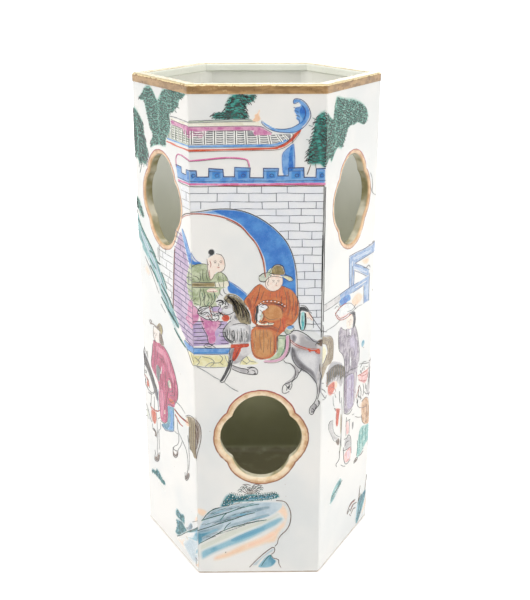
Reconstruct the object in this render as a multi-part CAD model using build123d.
"""A six-sided porcelain hat stand: a tall open-topped hexagonal case with a pierced four-lobed window in each side.

It is made the way slab-built porcelain is made. Six flat slabs are mitred and luted edge to edge, a floor slab is
luted between them above a recessed foot, coils of clay are pressed into every inside seam, and six mitred strips
close the mouth with a thicker, rounded rim. Windows alternate low and high round the case.

The origin is the centre of the foot, +Z is up, and the front face looks towards -Y. All sizes are in millimetres.
"""

import os
from math import cos, radians, sin

from build123d import *

# The case
height = 280.0  # foot to rim
side = 69.0  # one outside face, from upright edge to upright edge
wall = 4.8  # thickness of the six wall slabs
corner_round = 1.5  # softening of the upright outside edges
foot_round = 1.0  # softening of the bottom outside edge

# The rim strips
rim_height = 4.8
rim_lip_outside = 0.2  # how far the rim stands proud of the wall outside
rim_lip_inside = 1.6  # how far it stands proud inside
rim_round_outside = 1.6
rim_round_inside = 1.4
rim_round_under = 0.8  # the lower inside edge, which casts the shadow line seen from above

# The pierced windows
window_width = 45.0
window_height = 50.0
cusp_across = 31.5  # from the left cusps to the right ones
cusp_upright = 25.5  # from the lower cusps to the upper ones
cusp_round = 1.8
window_round_outside = 1.2
window_round_inside = 0.9
round_steps_outside = 4  # straight steps that stand for each rounded window edge
round_steps_inside = 2
low_window_rise = 86.8  # from the foot up to the middle of a low window
high_window_drop = 65.4  # from the rim down to the middle of a high window
front_window_shift = 1.6  # the front window was cut a little to the right of the middle

# The floor and the coils in the inside seams
foot_recess = 11.0  # the floor's underside above the foot
floor_thickness = 6.0
corner_coil = 4.5  # how far an upright coil runs out along each wall
floor_coil = 4.0  # how far a coil runs out along the floor and up the wall
coil_hollow = 0.35  # how hollow a coil's face is, as a share of its depth

SIDES = 6
TURN = 360.0 / SIDES
FACES = ["front", "right_front", "right_back", "back", "left_back", "left_front"]
CORNERS = ["front_right", "right", "back_right", "back_left", "left", "front_left"]

half_turn = radians(TURN / 2)
apothem = side * cos(half_turn)  # centre to the middle of an outside face
inner_apothem = apothem - wall
inner_side = inner_apothem / cos(half_turn)
wall_top = height - rim_height
floor_top = foot_recess + floor_thickness


def hexagon(centre_to_face):
    """A hexagon with faces towards -Y and +Y."""
    return RegularPolygon(centre_to_face / cos(half_turn), SIDES)


def softened_hexagon(centre_to_face, radius):
    """The same with its corners rounded."""
    outline = hexagon(centre_to_face)
    return fillet(outline.vertices(), radius)


def mitre_wedge(low, high):
    """The sixth of the plan that lies behind the front face, between two mitre planes, from low to high."""
    reach = 2 * side
    x = reach * sin(half_turn)
    y = -reach * cos(half_turn)
    plan = make_face(Polyline((0, 0), (x, y), (-x, y), close=True))
    return Pos(0, 0, low) * extrude(plan, high - low)


def turned_to(count, piece):
    """The piece of the front face, carried round to the right to face number count."""
    return Rot(0, 0, count * TURN) * piece


def window_outline():
    """Four shallow lobes that meet in four softened cusps."""
    x, z = cusp_across / 2, cusp_upright / 2
    lobes = [
        ThreePointArc((x, -z), (window_width / 2, 0), (x, z)),
        ThreePointArc((x, z), (0, window_height / 2), (-x, z)),
        ThreePointArc((-x, z), (-window_width / 2, 0), (-x, -z)),
        ThreePointArc((-x, -z), (0, -window_height / 2), (x, -z)),
    ]
    outline = make_face(Wire(lobes))
    return fillet(outline.vertices(), cusp_round)


def quarter_round(radius, steps):
    """How far a rounded edge has drawn back at each depth below the surface, as (depth, setback), in short steps."""
    turns = [radians(90 * step / steps) for step in range(steps + 1)]
    return [(radius * (1 - cos(turn)), radius * (1 - sin(turn))) for turn in turns]


def window_cutter():
    """What is cut out of a slab whose outside lies at z 0: straight in the middle and flared where the edges round."""
    # An edge can't be rounded by more than the cusp or half the slab leaves room for.
    most = min(cusp_round * 0.9, wall * 0.45)
    outside = quarter_round(min(window_round_outside, most), round_steps_outside)
    inside = quarter_round(min(window_round_inside, most), round_steps_inside)
    profile = outside + [(wall - depth, setback) for depth, setback in reversed(inside)]
    profile = [(-wall, profile[0][1])] + profile + [(2 * wall, profile[-1][1])]
    outline = window_outline()
    sections = [
        Pos(0, 0, -depth) * (offset(outline, setback) if setback > 1e-6 else outline) for depth, setback in profile
    ]
    return loft(sections, ruled=True)


def wall_slab(window_z, window_x=0.0):
    """The front wall slab: cut from a whole case, so that its roundings run on through the mitres, then pierced."""
    plan = softened_hexagon(apothem, corner_round) - hexagon(inner_apothem)
    case = extrude(plan, wall_top)
    foot = case.faces().sort_by(Axis.Z)[0]
    case = fillet(foot.outer_wire().edges(), foot_round)
    slab = case & mitre_wedge(0, wall_top)
    return slab - Pos(window_x, -apothem, window_z) * Rot(90, 0, 0) * window_cutter()


def rim_strip():
    """The front rim strip, cut from a whole rounded ring in the same way."""
    outer = softened_hexagon(apothem + rim_lip_outside, corner_round + rim_lip_outside)
    ring = Pos(0, 0, wall_top) * extrude(outer - hexagon(inner_apothem - rim_lip_inside), rim_height)
    top = ring.faces().sort_by(Axis.Z)[-1]
    ring = fillet(top.outer_wire().edges(), rim_round_outside)
    top = ring.faces().sort_by(Axis.Z)[-1]
    ring = fillet(top.inner_wires()[0].edges(), rim_round_inside)
    underside = ring.faces().sort_by(Axis.Z)[0]
    ring = fillet(underside.inner_wires()[0].edges(), rim_round_under)
    return ring & mitre_wedge(wall_top, height)


def hollow_corner(corner, first, second):
    """The section of a pressed coil: it fills the corner as far as first and second, with a hollow face."""
    middle = (first + second) * 0.5
    deepest = middle + (corner - middle) * coil_hollow
    return make_face(Wire([Line(corner, first), ThreePointArc(first, deepest, second), Line(second, corner)]))


def upright_coil():
    """The coil in the seam at the right-hand end of the front wall, from the floor to the rim."""
    seam = Vector(inner_side * sin(half_turn), -inner_apothem)
    along_front = seam + Vector(-corner_coil, 0)
    along_next = seam + Vector(corner_coil * cos(radians(TURN)), corner_coil * sin(radians(TURN)))
    section = hollow_corner(seam, along_front, along_next)
    return Pos(0, 0, floor_top) * extrude(section, wall_top - floor_top)


def floor_seam_coil(upright_coils):
    """The coil between the floor and the front wall, mitred to its neighbours and trimmed to the upright coils."""
    seam = Vector(-inner_apothem, floor_top)
    section = hollow_corner(seam, seam + Vector(floor_coil, 0), seam + Vector(0, floor_coil))
    strip = extrude(Plane.YZ * section, side, both=True)
    strip &= mitre_wedge(floor_top, floor_top + floor_coil)
    return strip - upright_coils


def floor_slab():
    """The floor, luted between the six walls above the recessed foot."""
    return Pos(0, 0, foot_recess) * extrude(hexagon(inner_apothem), floor_thickness)


def main():
    os.makedirs("parts", exist_ok=True)
    low_wall = wall_slab(low_window_rise)
    high_wall = wall_slab(height - high_window_drop)
    walls = [low_wall, high_wall] * (SIDES // 2)
    walls[0] = wall_slab(low_window_rise, front_window_shift)
    rim = rim_strip()
    right_coil = upright_coil()
    floor_coil_piece = floor_seam_coil([right_coil, turned_to(-1, right_coil)])

    export_step(floor_slab(), "parts/floor_slab.step")
    for count, face in enumerate(FACES):
        export_step(turned_to(count, walls[count]), f"parts/wall_{face}.step")
        export_step(turned_to(count, rim), f"parts/rim_{face}.step")
        export_step(turned_to(count, floor_coil_piece), f"parts/floor_coil_{face}.step")
    for count, corner in enumerate(CORNERS):
        export_step(turned_to(count, right_coil), f"parts/corner_coil_{corner}.step")


main()
